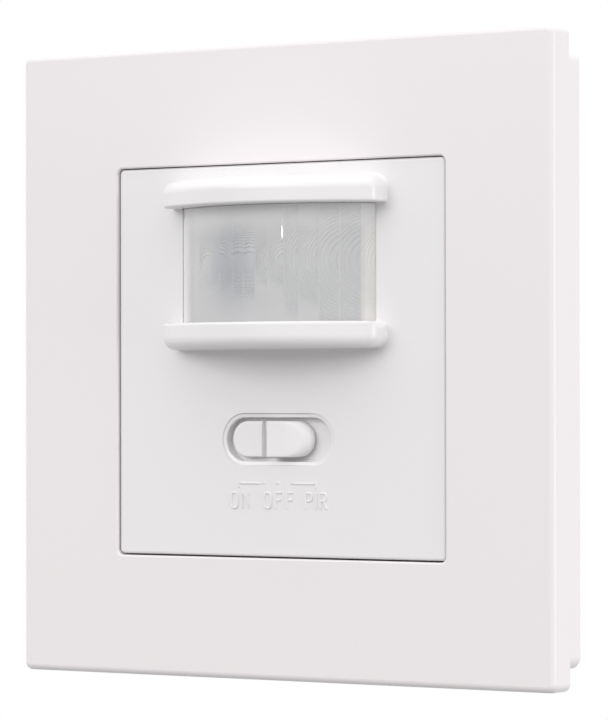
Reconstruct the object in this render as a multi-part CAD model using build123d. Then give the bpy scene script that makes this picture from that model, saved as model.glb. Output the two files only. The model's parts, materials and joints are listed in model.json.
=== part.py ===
from build123d import *
import math
import os

os.makedirs("parts", exist_ok=True)

# Motion sensor wall switch with a three position slide switch under a curved lens.
# Millimetres, +Z up, +X to the right as seen from the room, and the room is towards -Y.
# The wall's surface is the plane y = 0, and the origin is the centre of the box screws.
# Depths count from the wall: positive into the room, negative into the wall box.

# Screws of the wall box, which everything in the wall's plane is set out from
box_screw_spacing = 60.0
box_slot_width = 3.6
box_slot_length = 7.0

# Outer frame, a shell with a collar round its opening
frame_margin = 10.0
frame_depth = 3.65
frame_wall = 2.0
frame_skin = 2.0
frame_corner_radius = 1.0
frame_edge_radius = 0.8
opening_corner_radius = 0.8
opening_edge_radius = 0.25
collar_wall = 1.2

# Surround, the deep ring that fills the space between the frame and the wall
surround_play = 0.3
surround_depth = 6.45
surround_wall = 2.0
surround_corner_radius = 1.5

# Centre cover, set a little below the frame's face
cover_margin = 5.45
cover_side_gap = 0.18
cover_top_gap = 0.11
cover_foot_gap = 0.2
cover_recess = 0.3
cover_thickness = 2.2
cover_corner_radius = 0.6
cover_edge_radius = 0.35
cover_rim_wall = 1.2
cover_rim_depth = 3.0
snap_length = 10.0
snap_stand = 0.25
snap_width = 0.6
snap_play = 0.1

# Hoods above and below the lens
hood_side_land = 8.45
hood_stand = 8.2
hood_end_stand = 2.4
hood_thickness_share = 0.0672
hood_corner_radius = 1.7
hood_outer_radius = 1.5
hood_inner_radius = 0.35
hood_root_radius = 0.3
hood_lower_end_radius = 1.2
hood_lower_end_bulge = 0.03

# Lens, a bent strip of lens fields over the sensor
lens_rise_share = 0.2448
lens_inset = 1.6
lens_height_share = 0.2933
lens_stand = 5.3
lens_thickness = 0.8
lens_play = 0.1
lens_lip = 1.2
lens_lip_thickness = 1.0
lens_field_edge_shares = (0.06, 0.18, 0.33, 0.47, 0.64, 0.81)

# Clamp frame behind the lens
retainer_corner_radius = 1.0
retainer_thickness = 1.2
retainer_border = 1.1
retainer_peg_radius = 0.8
retainer_peg_play = 0.1
retainer_peg_inset = 1.3
retainer_peg_spacing = 8.5

# Recess that the knob slides in
recess_drop_share = 0.2013
recess_length = 16.95
recess_height = 6.65
recess_bevel = 0.13
recess_bevel_width = 0.55
recess_depth = 1.3

# Knob and its travel
knob_travel = 2.4
knob_left_gap = 0.95
knob_right_gap = 0.2
knob_side_gap = 0.42
knob_float = 0.1
knob_thumb_rise = 0.95
knob_block_rise = 2.1
knob_nose_rise = 0.45
knob_groove_rise = 0.25
knob_groove_width = 1.45
knob_block_share = 0.473
knob_flat_share = 0.8
knob_thumb_radius = 0.45
knob_block_radius = 0.15
stem_length = 3.0
stem_height = 2.4
stem_play = 0.3

# Slider plate behind the cover
slider_length = 16.0
slider_height = 9.0
slider_thickness = 1.0
slider_play = 0.2
slider_side_play = 0.1
slider_corner_radius = 1.0
rail_width = 0.8
rail_overhang = 4.0
stem_seat_play = 0.05
prong_thickness = 1.2
prong_height = 4.0
prong_play = 0.05

# Support plate of sheet steel with slots for the box screws
plate_thickness = 1.0
plate_play = 0.2
plate_corner_radius = 1.5
plate_rib_length = 12.0
plate_rib_width = 1.6
plate_rib_stand = 0.6
plate_rib_corner_radius = 0.5
plate_rib_offset = 12.5

# Rear housing in the wall box
housing_margin = 1.55
housing_wall = 1.6
housing_corner_radius = 13.0
housing_reach = 23.6
housing_edge_radius = 1.0
housing_play = 0.2
flange_thickness = 1.2
flange_inset = 0.2

# Chassis that carries the cover and holds the sensor board down
chassis_base_thickness = 2.2
chassis_play = 0.15
chassis_wall = 2.1
chassis_bore_radius = 1.5
chassis_top_play = 0.2
leg_width = 5.0
leg_thickness = 1.4
lug_length = 8.0
lug_width = 1.0
lug_stand = 0.75
lug_play = 0.2

# Screws that hold chassis, housing and plate together
screw_land = 1.0
screw_seat_rise = 1.1
screw_radius = 1.0
screw_play = 0.1
screw_head_radius = 1.75
screw_head_height = 1.4
screw_slot_width = 0.7
screw_slot_depth = 0.8
screw_tip_gap = 0.1

# Boards
board_thickness = 1.6
board_play = 0.4
sensor_board_depth = 0.6
ledge_width = 5.0
ledge_thickness = 2.2
solder_room = 2.0
lead_size = 0.5
lead_play = 0.2
lead_tail = 1.0

# Heat sensor, light sensor and indicator on the sensor board
can_radius = 4.1
can_height = 4.2
can_flange_radius = 4.6
can_flange_height = 0.8
can_edge_bevel = 0.3
can_window_width = 5.0
can_window_height = 3.8
can_window_thickness = 0.4
can_lead_circle = 2.54
indicator_radius = 1.5
indicator_rim_radius = 1.9
indicator_rim_height = 1.0
indicator_height = 4.6
indicator_offset = 9.5
light_cell_radius = 2.5
light_cell_height = 2.0
light_cell_track_width = 0.5
light_cell_track_depth = 0.15
light_cell_track_count = 3
two_lead_spacing = 2.54

# Control chip
chip_length = 9.9
chip_width = 3.9
chip_height = 1.6
chip_standoff = 0.15
chip_pin_pitch = 1.27
chip_pin_width = 0.42
chip_pin_reach = 1.05
chip_pin_thickness = 0.25
chip_side_pin_count = 8
chip_drop = 0.5

# Three position slide switch
switch_length = 13.6
switch_width = 6.0
switch_height = 4.4
switch_sheet = 0.3
switch_base_height = 1.6
switch_play = 0.1
lever_foot_length = 5.0
lever_length = 2.6
lever_width = 2.2
lever_stand = 1.3
lever_end_play = 0.2
switch_pin_pitch = 3.0
switch_pin_count = 4

# Trimmers for run time and light threshold
trimmer_size = 6.6
trimmer_height = 3.2
trimmer_leg_gap = 1.7
trimmer_drop = 1.0
trimmer_corner_radius = 0.6
trimmer_well_depth = 0.8
rotor_radius = 2.6
rotor_height = 1.6
rotor_side_play = 0.1
rotor_end_play = 0.1
rotor_pivot_radius = 0.9
rotor_pivot_play = 0.05
rotor_pivot_depth = 1.4
rotor_slot_width = 0.7
rotor_slot_length = 3.6
rotor_slot_depth = 0.7
rotor_slot_corner_radius = 0.2

# Plug and socket between the boards
header_pitch = 2.54
header_count = 5
header_width = 2.5
header_base_height = 2.5
header_pin_size = 0.64
header_hole_play = 0.15
header_edge_gap = 4.2
socket_height_share = 0.4885
socket_entry_share = 0.53

# Parts on the power board: plans and places are shares of the board's width along X and Z,
# heights are shares of the room between the boards
relay_plan_shares = (0.4524, 0.3667)
relay_height_share = 0.862
relay_place_shares = (-0.2143, 0.2)
relay_edge_radius = 0.5
film_cap_plan_shares = (0.4167, 0.181)
film_cap_height_share = 0.7184
film_cap_place_shares = (-0.1905, -0.1333)
film_cap_edge_radius = 0.4
film_cap_lead_share = 0.3571
bulk_cap_radius_share = 0.0952
bulk_cap_height_share = 0.661
bulk_cap_place_shares = (0.2238, 0.2667)
bulk_cap_groove_depth = 0.3
bulk_cap_groove_rise = 1.8
bulk_cap_groove_length = 1.8
bulk_cap_lead_spacing = 3.5
surge_disc_radius_share = 0.1071
surge_disc_thickness = 3.6
surge_disc_edge_bevel = 0.8
surge_disc_place_shares = (0.2619, 0.0714)
surge_disc_lead_spacing = 5.0
bridge_plan_shares = (0.1976, 0.1524)
bridge_height_share = 0.1494
bridge_place_shares = (0.2619, -0.081)
bridge_edge_radius = 0.3
fuse_radius_share = 0.0429
fuse_cap_step = 0.2
fuse_cap_length = 1.8
fuse_length_share = 0.2143
fuse_place_shares = (0.2524, -0.219)
fuse_standoff = 0.3

# Terminal block behind the housing
terminal_pitch = 10.0
terminal_count = 3
terminal_height = 14.0
terminal_depth = 8.4
terminal_end_wall = 1.6
cage_drop_share = 0.2833
terminal_entry_length = 5.0
terminal_edge_radius = 0.4
wire_hole_radius = 1.7
cage_size = 6.0
cage_wall = 1.0
cage_play = 0.1
clamp_screw_radius = 1.5
clamp_head_radius = 2.6
clamp_head_height = 1.4
clamp_head_play = 0.15
clamp_thread_play = 0.05
clamp_slot_width = 0.8
clamp_slot_depth = 0.7
tab_width = 2.5
tab_thickness = 0.8
tab_play = 0.15

# How far cutting shapes run past what they cut
overrun = 0.5

# Places that follow from the sizes above
frame_width = box_screw_spacing + 2 * frame_margin
cover_width = box_screw_spacing - 2 * cover_margin
hood_width = cover_width - 2 * hood_side_land
hood_thickness = hood_thickness_share * cover_width
lens_width = hood_width - 2 * lens_inset
lens_height = lens_height_share * cover_width
lens_rise = lens_rise_share * cover_width
recess_drop = recess_drop_share * cover_width
housing_width = cover_width - 2 * housing_margin
face_depth = surround_depth + frame_depth
skin_back = face_depth - frame_skin
surround_width = frame_width - 2 * (frame_wall + surround_play)
surround_bore = surround_width - 2 * surround_wall
frame_opening = cover_width + 2 * cover_side_gap
cover_height = frame_opening - cover_top_gap - cover_foot_gap
cover_rise = (cover_foot_gap - cover_top_gap) / 2
cover_face = face_depth - cover_recess
cover_back = cover_face - cover_thickness
rim_end = cover_back - cover_rim_depth
recess_floor = cover_face - recess_depth
groove_length = recess_length - 2 * recess_bevel_width
groove_height = recess_height - 2 * recess_bevel_width
slider_front = cover_back - slider_play
slider_back = slider_front - slider_thickness
lens_lip_back = cover_back - lens_lip_thickness
lens_reach = lens_width + 2 * lens_lip
lens_rear_height = lens_height + 2 * lens_lip
flange_front = plate_thickness + flange_thickness
flange_width = frame_opening - 2 * flange_inset
chassis_base_front = flange_front + chassis_base_thickness
chassis_front = cover_back - chassis_top_play
tower_width = cover_width - 2 * (cover_rim_wall + chassis_play)
tower_height = cover_height - 2 * (cover_rim_wall + chassis_play)
cavity_width = housing_width - 2 * housing_wall
cavity_radius = housing_corner_radius - housing_wall
board_width = cavity_width - 2 * board_play
board_radius = cavity_radius - board_play
sensor_board_back = sensor_board_depth - board_thickness
housing_floor = housing_wall - housing_reach
power_board_back = housing_floor + solder_room
power_board_front = power_board_back + board_thickness
board_room = sensor_board_back - power_board_front
trimmer_offset = board_width / 2 - leg_thickness - trimmer_leg_gap - trimmer_size / 2
header_drop = board_width / 2 - header_edge_gap
socket_height = socket_height_share * board_room
socket_entry = socket_entry_share * socket_height
bend_middle = housing_width / 2 - housing_corner_radius
bend_reach = housing_corner_radius + housing_play + screw_land + screw_radius
screw_place = bend_middle + bend_reach / math.sqrt(2)
terminal_back = -housing_reach - terminal_depth
terminal_length = terminal_count * terminal_pitch + 2 * terminal_end_wall
terminal_middle = -housing_reach - terminal_depth / 2
cage_rise = -cage_drop_share * board_width
terminal_foot = cage_rise - cage_size / 2 - cage_play - terminal_entry_length
terminal_rise = terminal_foot + terminal_height / 2


def facing(depth):
    """The plane parallel to the wall at this depth, seen from the room."""
    return Plane.XZ.offset(depth)


def prism(outline, back, front):
    """An outline drawn as seen from the room, solid from one depth to another."""
    return extrude(facing(back) * outline, amount=front - back)


def block(length, height, back, front, x=0.0, z=0.0):
    """A plain block, placed by the middle of its front view."""
    return prism(Pos(x, z) * Rectangle(length, height), back, front)


def soft_block(length, height, back, front, radius, x=0.0, z=0.0):
    """A block whose four edges along the depth are rounded."""
    return prism(Pos(x, z) * RectangleRounded(length, height, radius), back, front)


def post(radius, back, front, x=0.0, z=0.0):
    """A round post along the depth."""
    return prism(Pos(x, z) * Circle(radius), back, front)


def edges_at(solid, depth):
    """Edges that lie wholly in the plane at this depth."""
    return solid.edges().filter_by_position(Axis.Y, -depth, -depth)


def corners(reach_x, reach_z):
    """The four corner places of a pattern, as signs times its reach."""
    return [(sx * reach_x, sz * reach_z) for sx in (-1, 1) for sz in (-1, 1)]


def row(count, pitch):
    """Places along X, evenly spread about zero."""
    return [(i - (count - 1) / 2) * pitch for i in range(count)]


def save(solid, name):
    """Write one piece to its own file."""
    export_step(solid, os.path.join("parts", name + ".step"))


def on_board(shares):
    """Lengths or places along a board, from shares of its width."""
    return [share * board_width for share in shares]


def joined(pieces):
    """Separate solids that share one name."""
    return Compound(children=[s for piece in pieces for s in piece.solids()])


def outer_frame():
    """Square frame: a thin walled shell, open behind, with a collar that stands on the plate."""
    edge = frame_opening + 2 * collar_wall
    body = soft_block(frame_width, frame_width, surround_depth, face_depth, frame_corner_radius)
    body = fillet(edges_at(body, face_depth), frame_edge_radius)
    hollow_width = frame_width - 2 * frame_wall
    body -= block(hollow_width, hollow_width, surround_depth - overrun, skin_back)
    collar_radius = opening_corner_radius + collar_wall
    body += soft_block(edge, edge, plate_thickness, skin_back, collar_radius)
    body -= soft_block(frame_opening, frame_opening, plate_thickness - overrun,
                       face_depth + overrun, opening_corner_radius)
    front = edges_at(body, face_depth)
    inner = [e for e in front if max(abs(e.center().X), abs(e.center().Z)) < edge / 2]
    body = fillet(inner, opening_edge_radius)
    window = lug_width + 2 * lug_play
    middle = (flange_front + chassis_base_front) / 2
    reach = frame_opening + 2 * (collar_wall + overrun)
    for length, height in ((reach, lug_length + 2 * lug_play), (lug_length + 2 * lug_play, reach)):
        body -= block(length, height, middle - window / 2, middle + window / 2)
    return body


def wall_surround():
    """Deep square ring between the frame's skin and the wall."""
    ring = soft_block(surround_width, surround_width, 0, skin_back, surround_corner_radius)
    return ring - block(surround_bore, surround_bore, -overrun, skin_back + overrun)


def hood():
    """Upper hood: a bowed shelf with soft outer edges, standing on the cover's face."""
    half = hood_width / 2
    root = -(cover_face - cover_thickness / 2)
    end = -(cover_face + hood_end_stand)
    sides = Polyline((-half, end), (-half, root), (half, root), (half, end))
    bow = ThreePointArc((-half, end), (0, -(cover_face + hood_stand)), (half, end))
    plan = make_face(sides + bow)
    front_corners = plan.vertices().sort_by(Axis.Y)[:2]
    plan = fillet(front_corners, hood_corner_radius)
    foot = lens_rise + lens_height / 2 + lens_play
    shelf = extrude(Plane.XY.offset(foot) * plan, amount=hood_thickness)
    top = shelf.faces().sort_by(Axis.Z)[-1].edges()
    shelf = fillet([e for e in top if e.center().Y < root], hood_outer_radius)
    under = shelf.faces().sort_by(Axis.Z)[0].edges()
    return fillet([e for e in under if e.center().Y < root], hood_inner_radius)


def lower_hood_corners():
    """What rounds off the lower hood's two ends beside the lens."""
    radius = hood_lower_end_radius
    inset = radius - hood_lower_end_bulge
    z = lens_rise - lens_height / 2 - lens_play - inset
    size = radius + overrun
    cuts = []
    for side in (-1, 1):
        x = side * (hood_width / 2 - inset)
        corner = block(size, size, cover_face, cover_face + hood_stand, x + side * size / 2,
                       z + size / 2)
        cuts.append(corner - post(radius, cover_face, cover_face + hood_stand, x, z))
    return joined(cuts)


def centre_cover():
    """Cover moulding: bowed hoods, lens opening, bevelled knob recess, rim, rails and pegs."""
    plate = soft_block(cover_width, cover_height, cover_back, cover_face, cover_corner_radius,
                       z=cover_rise)
    plate = fillet(edges_at(plate, cover_face), cover_edge_radius)
    upper = hood()
    plate += upper
    plate += mirror(upper, about=Plane.XY.offset(lens_rise))
    reach_z = lens_height / 2 + hood_thickness + hood_root_radius
    roots = [e for e in edges_at(plate, cover_face)
             if abs(e.center().X) < hood_width / 2 + hood_root_radius
             and abs(e.center().Z - lens_rise) < reach_z]
    plate = fillet(roots, hood_root_radius)
    plate -= lower_hood_corners()
    rim = soft_block(cover_width, cover_height, rim_end, cover_back, cover_corner_radius,
                     z=cover_rise)
    rim -= block(cover_width - 2 * cover_rim_wall, cover_height - 2 * cover_rim_wall,
                 rim_end - overrun, cover_back + overrun, z=cover_rise)
    plate += rim
    plate -= block(lens_width + 2 * lens_play, lens_height + 2 * lens_play,
                   cover_back - overrun, cover_face + hood_stand, z=lens_rise)
    recess = Pos(0, -recess_drop)
    mouth = facing(cover_face) * recess * SlotOverall(recess_length, recess_height)
    step = facing(cover_face - recess_bevel) * recess * SlotOverall(groove_length, groove_height)
    plate -= loft([step.face(), mouth.face()])
    plate -= prism(recess * SlotOverall(groove_length, groove_height), recess_floor,
                   cover_face - recess_bevel)
    plate -= block(stem_length + knob_travel + 2 * stem_play, stem_height + 2 * stem_play,
                   cover_back - overrun, recess_floor + overrun, z=-recess_drop)
    rail_length = slider_length + rail_overhang
    rail_place = slider_height / 2 + slider_side_play + rail_width / 2
    for side in (-1, 1):
        plate += block(rail_length, rail_width, slider_back, cover_back,
                       z=side * rail_place - recess_drop)
    for x, z in retainer_pegs():
        plate += post(retainer_peg_radius, lens_lip_back - retainer_thickness, cover_back, x, z)
    inner = cover_width / 2 - cover_rim_wall
    for side in (-1, 1):
        plate += block(2 * snap_stand, snap_length, rim_end, rim_end + snap_width,
                       x=side * inner, z=cover_rise)
    return plate


def retainer_pegs():
    """Places of the pegs that hold the lens clamp, outside the lens lip."""
    reach_x = lens_reach / 2 + retainer_peg_inset
    reach_z = retainer_peg_spacing / 2
    return [(x, lens_rise + z) for x, z in corners(reach_x, reach_z)]


def lens_arc(stand, half_width):
    """Radius and axis depth of an arc that bows this far off the cover's face."""
    radius = (half_width ** 2 + stand ** 2) / (2 * stand)
    return radius, cover_face + stand - radius


def fresnel_lens():
    """Bent lens: smooth outside, flat fields inside that meet at upright ridges, and a lip."""
    half = lens_width / 2
    radius, axis_depth = lens_arc(lens_stand, half)
    outer = ThreePointArc((-half, -cover_face), (0, -(cover_face + lens_stand)),
                          (half, -cover_face))
    inner_half = half - lens_thickness
    inner_radius = radius - lens_thickness
    edge_angle = math.asin(inner_half / inner_radius)
    shares = [-s for s in reversed(lens_field_edge_shares)] + list(lens_field_edge_shares)
    fields = [(inner_radius * math.sin(s * edge_angle),
               -(axis_depth + inner_radius * math.cos(s * edge_angle)))
              for s in [-1] + shares + [1]]
    back = -lens_lip_back
    inside = Polyline((half, -cover_face), (half, back), (inner_half, back), *reversed(fields),
                      (-inner_half, back), (-half, back), (-half, -cover_face))
    foot = lens_rise - lens_height / 2
    shell = extrude(Plane.XY.offset(foot) * make_face(outer + inside), amount=lens_height)
    lip = block(lens_reach, lens_rear_height, lens_lip_back, cover_back, z=lens_rise)
    lip -= block(2 * inner_half, lens_height, lens_lip_back - overrun, cover_back + overrun,
                 z=lens_rise)
    return shell + lip


def lens_retainer():
    """Flat frame that clamps the lens lip against the cover, held by four pegs."""
    length = lens_reach + 2 * (retainer_peg_inset + retainer_peg_radius + retainer_border)
    plate = soft_block(length, lens_rear_height, lens_lip_back - retainer_thickness,
                       lens_lip_back, retainer_corner_radius, z=lens_rise)
    plate -= block(lens_width - 2 * lens_lip, lens_height - 2 * lens_lip,
                   lens_lip_back - retainer_thickness - overrun, lens_lip_back + overrun,
                   z=lens_rise)
    for x, z in retainer_pegs():
        plate -= post(retainer_peg_radius + retainer_peg_play,
                      lens_lip_back - retainer_thickness - overrun, lens_lip_back + overrun, x, z)
    return plate


def knob_middle():
    """Where the knob's middle stands at the left end of its travel."""
    return -knob_travel / 2


def slide_knob():
    """Knob: a low thumb flat, a groove, and a raised block whose nose is part of a sphere."""
    length = groove_length - knob_travel - knob_left_gap - knob_right_gap
    half_height = groove_height / 2 - knob_side_gap
    left = knob_left_gap - groove_length / 2
    outline = Pos(left + length / 2, -recess_drop) * SlotOverall(length, 2 * half_height)
    foot = recess_floor + knob_float
    thumb_top = foot + knob_thumb_rise
    block_top = foot + knob_block_rise
    block_left = left + knob_block_share * length
    knob = prism(outline, foot, foot + knob_groove_rise)
    thumb = fillet(edges_at(prism(outline, foot, thumb_top), thumb_top), knob_thumb_radius)
    thumb -= block(length, groove_height, foot - overrun, block_top,
                   x=block_left - knob_groove_width + length / 2, z=-recess_drop)
    raised = prism(outline, foot, block_top)
    raised -= block(length, groove_height, foot - overrun, block_top + overrun,
                    x=block_left - length / 2, z=-recess_drop)
    raised = fillet(edges_at(raised, block_top), knob_block_radius)
    nose_middle = left + knob_flat_share * length - half_height
    reach = left + length - nose_middle
    drop = knob_block_rise - knob_nose_rise
    nose_depth = (reach ** 2 - half_height ** 2 + drop ** 2) / (2 * drop)
    nose = Sphere(math.hypot(half_height, nose_depth))
    above = block(length, groove_height, foot, block_top + overrun, x=nose_middle + length / 2,
                  z=-recess_drop)
    raised -= above - Pos(nose_middle, nose_depth - block_top, -recess_drop) * nose
    knob += thumb
    knob += raised
    return knob + block(stem_length, stem_height, slider_back, foot, z=-recess_drop,
                        x=knob_middle())


def slider_plate():
    """Plate behind the cover that the stem snaps into, with two prongs for the lever."""
    plate = soft_block(slider_length, slider_height, slider_back, slider_front,
                       slider_corner_radius, x=knob_middle(), z=-recess_drop)
    plate -= block(stem_length + 2 * stem_seat_play, stem_height + 2 * stem_seat_play,
                   slider_back - overrun, slider_front + overrun, x=knob_middle(),
                   z=-recess_drop)
    prong_place = lever_length / 2 + prong_play + prong_thickness / 2
    prong_end = switch_front() + slider_play
    for side in (-1, 1):
        plate += block(prong_thickness, prong_height, prong_end, slider_back,
                       x=knob_middle() + side * prong_place, z=-recess_drop)
    return plate


def switch_front():
    """Depth of the slide switch's sheet metal front."""
    return sensor_board_depth + switch_height


def switch_shell():
    """Sheet metal box over the slide switch, with a slot for its lever."""
    length = lever_length + knob_travel + 2 * lever_end_play
    shell = block(switch_length, switch_width, sensor_board_depth, switch_front(),
                  z=-recess_drop)
    shell -= block(switch_length - 2 * switch_sheet, switch_width - 2 * switch_sheet,
                   sensor_board_depth - overrun, switch_front() - switch_sheet, z=-recess_drop)
    shell -= block(length, lever_width + 2 * switch_play, switch_front() - switch_sheet - overrun,
                   switch_front() + overrun, z=-recess_drop)
    return shell


def switch_pin_places():
    """Places of the slide switch's pins in the sensor board."""
    return [(x, -recess_drop) for x in row(switch_pin_count, switch_pin_pitch)]


def switch_base():
    """Insulating base of the slide switch with its row of pins."""
    base = block(switch_length - 2 * (switch_sheet + switch_play),
                 switch_width - 2 * (switch_sheet + switch_play), sensor_board_depth,
                 sensor_board_depth + switch_base_height, z=-recess_drop)
    for x, z in switch_pin_places():
        base += block(lead_size, lead_size, sensor_board_back - lead_tail, sensor_board_depth,
                      x, z)
    return base


def switch_lever():
    """Lever of the slide switch: a foot that slides in the shell and a stalk through its slot."""
    foot_back = sensor_board_depth + switch_base_height + switch_play
    foot_front = switch_front() - switch_sheet - switch_play
    width = switch_width - 2 * (switch_sheet + switch_play)
    lever = block(lever_foot_length, width, foot_back, foot_front, x=knob_middle(),
                  z=-recess_drop)
    lever += block(lever_length, lever_width, foot_front, switch_front() + lever_stand,
                   x=knob_middle(), z=-recess_drop)
    return lever


def support_plate():
    """Steel plate: opening for the housing, slots for the box screws and stiffening ribs."""
    width = surround_bore - 2 * plate_play
    plate = soft_block(width, width, 0, plate_thickness, plate_corner_radius)
    opening = housing_width + 2 * housing_play
    plate -= soft_block(opening, opening, -overrun, plate_thickness + overrun,
                        housing_corner_radius + housing_play)
    half = box_screw_spacing / 2
    for side in (-1, 1):
        across = Pos(side * half, 0) * SlotOverall(box_slot_length, box_slot_width)
        plate -= prism(across, -overrun, plate_thickness + overrun)
        along = Pos(0, side * half) * Rot(0, 0, 90) * SlotOverall(box_slot_length, box_slot_width)
        plate -= prism(along, -overrun, plate_thickness + overrun)
    for x, z in screw_places():
        plate -= post(screw_radius, -overrun, plate_thickness + overrun, x, z)
    for x, z in corners(half, plate_rib_offset):
        plate += soft_block(plate_rib_width, plate_rib_length, plate_thickness,
                            plate_thickness + plate_rib_stand, plate_rib_corner_radius, x, z)
        plate += soft_block(plate_rib_length, plate_rib_width, plate_thickness,
                            plate_thickness + plate_rib_stand, plate_rib_corner_radius, z, x)
    return plate


def screw_places():
    """Places of the four screws through chassis, flange and plate."""
    return corners(screw_place, screw_place)


def rear_housing():
    """Tub in the wall box: rounded square, flange in front, ledges and posts for the boards."""
    tub = soft_block(housing_width, housing_width, -housing_reach, plate_thickness,
                     housing_corner_radius)
    tub = fillet(edges_at(tub, -housing_reach), housing_edge_radius)
    tub += soft_block(flange_width, flange_width, plate_thickness, flange_front,
                      opening_corner_radius)
    tub -= soft_block(cavity_width, cavity_width, housing_floor, flange_front + overrun,
                      cavity_radius)
    for x, z in screw_places():
        tub -= post(screw_radius + screw_play, plate_thickness - overrun,
                    flange_front + overrun, x, z)
    reach = cavity_width / 2 - ledge_thickness / 2
    for side in (-1, 1):
        tub += block(ledge_thickness, ledge_width, power_board_front + board_play,
                     sensor_board_back, x=side * reach)
        tub += block(ledge_width, ledge_thickness, power_board_front + board_play,
                     sensor_board_back, z=side * reach)
        tub += block(ledge_thickness, ledge_width, housing_floor, power_board_back,
                     x=side * reach)
        tub += block(ledge_width, ledge_thickness, housing_floor, power_board_back,
                     z=side * reach)
    for x in row(terminal_count, terminal_pitch):
        tub -= block(tab_width + 2 * tab_play, tab_thickness + 2 * tab_play,
                     -housing_reach - overrun, housing_floor + overrun, x=x, z=cage_rise)
    return tub


def front_chassis():
    """Square tower: carries the cover's rim, clips the frame and holds the sensor board down."""
    base = soft_block(flange_width, flange_width, flange_front, chassis_base_front,
                      opening_corner_radius)
    base += block(tower_width, tower_height, chassis_base_front, chassis_front, z=cover_rise)
    bore = board_width
    base -= soft_block(bore, bore, flange_front - overrun, chassis_front, board_radius)
    base -= soft_block(tower_width - 2 * chassis_wall, tower_height - 2 * chassis_wall,
                       chassis_base_front, chassis_front + overrun, chassis_bore_radius,
                       z=cover_rise)
    middle = (flange_front + chassis_base_front) / 2
    reach = flange_width / 2
    for side in (-1, 1):
        base += block(2 * lug_stand, lug_length, middle - lug_width / 2, middle + lug_width / 2,
                      x=side * reach)
        base += block(lug_length, 2 * lug_stand, middle - lug_width / 2, middle + lug_width / 2,
                      z=side * reach)
        leg = board_width / 2 - leg_thickness / 2
        base += block(leg_thickness, leg_width, sensor_board_depth, chassis_base_front,
                      x=side * leg)
        base += block(leg_width, leg_thickness, sensor_board_depth, chassis_base_front,
                      z=side * leg)
        groove_depth = snap_stand + snap_play
        base -= block(2 * groove_depth, snap_length + 2 * snap_play, chassis_base_front,
                      rim_end + snap_width + snap_play, x=side * tower_width / 2, z=cover_rise)
    for x, z in screw_places():
        base -= post(screw_radius + screw_play, flange_front - overrun,
                     chassis_front + overrun, x, z)
        base -= post(screw_head_radius + screw_play, flange_front + screw_seat_rise,
                     chassis_front + overrun, x, z)
    return base


def chassis_screws():
    """Four slotted cheese head screws from the chassis into the plate."""
    seat = flange_front + screw_seat_rise
    screws = []
    for x, z in screw_places():
        screw = post(screw_radius - screw_play, screw_tip_gap, seat, x, z)
        screw += post(screw_head_radius, seat, seat + screw_head_height, x, z)
        screw -= block(screw_slot_width, 2 * screw_head_radius + overrun,
                       seat + screw_head_height - screw_slot_depth,
                       seat + screw_head_height + overrun, x, z)
        screws.append(screw)
    return joined(screws)


def pair_of_leads(place, spacing):
    """Places of two leads side by side."""
    return [(place[0] + side * spacing / 2, place[1]) for side in (-1, 1)]


def film_cap_leads():
    """Places of the film capacitor's leads."""
    return pair_of_leads(on_board(film_cap_place_shares), film_cap_lead_share * board_width)


def bulk_cap_leads():
    """Places of the round capacitor's leads."""
    return pair_of_leads(on_board(bulk_cap_place_shares), bulk_cap_lead_spacing)


def surge_disc_leads():
    """Places of the surge absorber's leads."""
    return pair_of_leads(on_board(surge_disc_place_shares), surge_disc_lead_spacing)


def fuse_leads():
    """Places of the fusible resistor's bent leads."""
    spacing = fuse_length_share * board_width + 2 * fuse_standoff + lead_size
    return pair_of_leads(on_board(fuse_place_shares), spacing)


def can_lead_places():
    """Places of the heat sensor's three leads on their circle."""
    half = can_lead_circle / 2
    return [(-half, lens_rise), (half, lens_rise), (0, lens_rise - half)]


def header_places():
    """Places of the plug's pins between the boards."""
    return [(x, -header_drop) for x in row(header_count, header_pitch)]


def board(back, front, leads):
    """Circuit board that fits the housing, drilled for the leads of what stands on it."""
    plate = soft_block(board_width, board_width, back, front, board_radius)
    for x, z in leads:
        size = lead_size + 2 * lead_play
        plate -= block(size, size, back - overrun, front + overrun, x, z)
    return plate


def sensor_leads():
    """Every lead that passes through the sensor board."""
    leads = can_lead_places() + switch_pin_places()
    for side in (-1, 1):
        leads += pair_of_leads((side * indicator_offset, lens_rise), two_lead_spacing)
    return leads


def power_leads():
    """Every lead that passes through the power board."""
    return film_cap_leads() + bulk_cap_leads() + surge_disc_leads() + fuse_leads()


def sensor_board():
    """Board with the sensors, the slide switch and the trimmers."""
    return board(sensor_board_back, sensor_board_depth, sensor_leads())


def power_board():
    """Board with the relay and the mains parts, slotted for the terminal tabs."""
    plate = board(power_board_back, power_board_front, power_leads())
    for x in row(terminal_count, terminal_pitch):
        plate -= block(tab_width + 2 * tab_play, tab_thickness + 2 * tab_play,
                       power_board_back - overrun, power_board_front + overrun,
                       x=x, z=cage_rise)
    return plate


def leads_down(places, back, front):
    """Square leads from a part's foot through its board."""
    return [block(lead_size, lead_size, back - lead_tail, front, x, z) for x, z in places]


def pir_sensor():
    """Round metal can of the heat sensor with its flange, window opening and leads."""
    base = sensor_board_depth
    can = post(can_radius, base, base + can_height, z=lens_rise)
    can = chamfer(edges_at(can, base + can_height), can_edge_bevel)
    can += post(can_flange_radius, base, base + can_flange_height, z=lens_rise)
    can -= block(can_window_width, can_window_height, base + can_height - can_window_thickness,
                 base + can_height + overrun, z=lens_rise)
    for lead in leads_down(can_lead_places(), sensor_board_back, base):
        can += lead
    return can


def pir_window():
    """Dark window plate set into the can."""
    front = sensor_board_depth + can_height
    return block(can_window_width, can_window_height, front - can_window_thickness, front,
                 z=lens_rise)


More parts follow.
